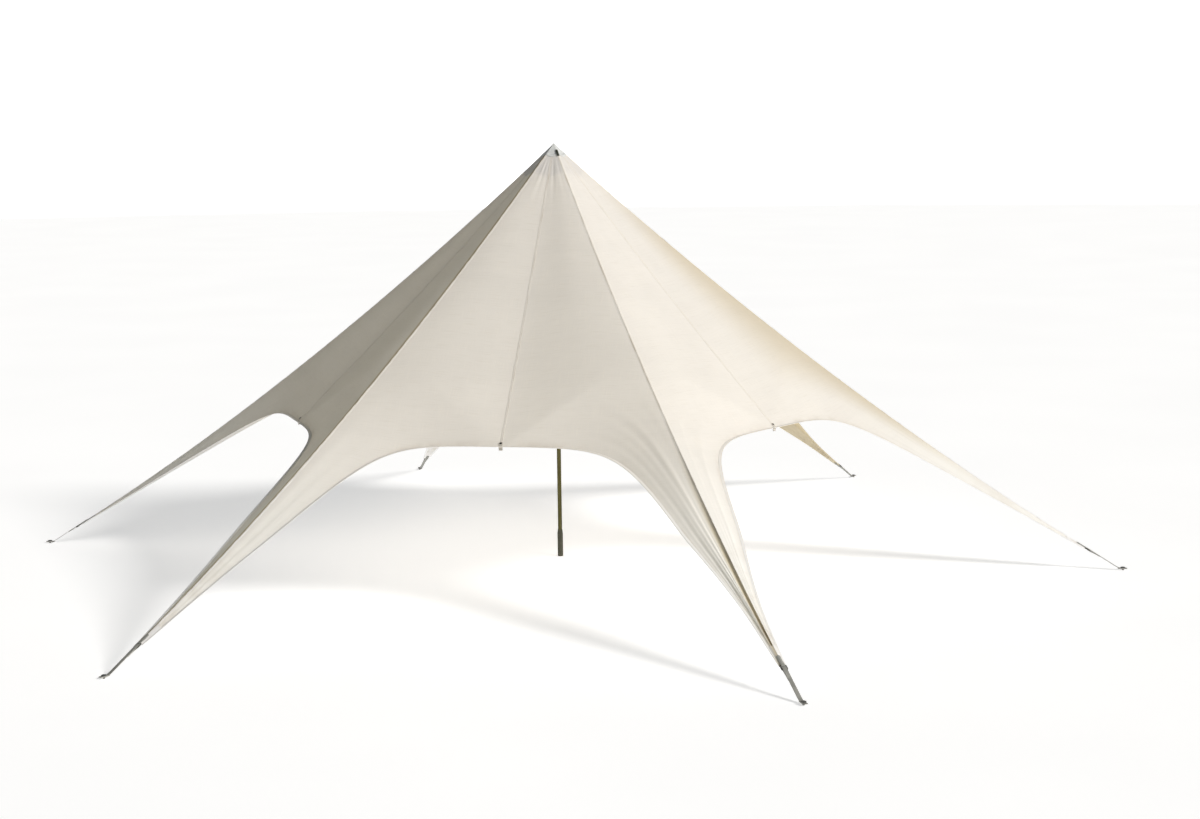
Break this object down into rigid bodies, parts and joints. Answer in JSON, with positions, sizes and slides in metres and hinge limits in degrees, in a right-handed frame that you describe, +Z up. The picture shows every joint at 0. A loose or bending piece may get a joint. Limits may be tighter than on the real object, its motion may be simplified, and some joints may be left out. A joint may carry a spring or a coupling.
{
  "type": "star-shaped single-pole sun shelter tent",
  "caption": "Star-shaped fabric sun shelter on one centre pole, with legs strapped down to ground stakes and an open arch between neighbouring legs.",
  "frame": {"origin": "on the ground under the middle of the pole", "axes": "+Z up along the pole, +X along one leg with the other legs every 60 degrees, so that one arch faces -Y"},
  "size_m": [8.052, 6.9868, 3.0052],
  "materials": {
    "canopy_fabric": "matt woven, cream",
    "cap_fabric": "matt woven, light grey",
    "webbing": "woven strap, grey",
    "tab_webbing": "woven tape, brown",
    "buckle_steel": "dark, satin",
    "stake_steel": "dark grey, satin",
    "pole_steel": "dark olive brown, satin",
    "foot_rubber": "dark olive grey, matt",
    "head_plastic": "black, matt"
  },
  "bodies": {
    "root": {"apex_cap": "cap_fabric", "pole_foot": "foot_rubber", "pole_head": "head_plastic", "pole_tube_lower": "pole_steel", "pole_tube_middle": "pole_steel", "pole_tube_upper": "pole_steel", "canopy_panel_1_left": "canopy_fabric", "canopy_panel_1_right": "canopy_fabric", "arch_tab_1": "tab_webbing", "buckle_1": "buckle_steel", "strap_1": "webbing", "stake_1": "stake_steel", "canopy_panel_2_left": "canopy_fabric", "canopy_panel_2_right": "canopy_fabric", "arch_tab_2": "tab_webbing", "buckle_2": "buckle_steel", "strap_2": "webbing", "stake_2": "stake_steel", "canopy_panel_3_left": "canopy_fabric", "canopy_panel_3_right": "canopy_fabric", "arch_tab_3": "tab_webbing", "buckle_3": "buckle_steel", "strap_3": "webbing", "stake_3": "stake_steel", "canopy_panel_4_left": "canopy_fabric", "canopy_panel_4_right": "canopy_fabric", "arch_tab_4": "tab_webbing", "buckle_4": "buckle_steel", "strap_4": "webbing", "stake_4": "stake_steel", "canopy_panel_5_left": "canopy_fabric", "canopy_panel_5_right": "canopy_fabric", "arch_tab_5": "tab_webbing", "buckle_5": "buckle_steel", "strap_5": "webbing", "stake_5": "stake_steel", "canopy_panel_6_left": "canopy_fabric", "canopy_panel_6_right": "canopy_fabric", "arch_tab_6": "tab_webbing", "buckle_6": "buckle_steel", "strap_6": "webbing", "stake_6": "stake_steel"}
  },
  "joints": []
}
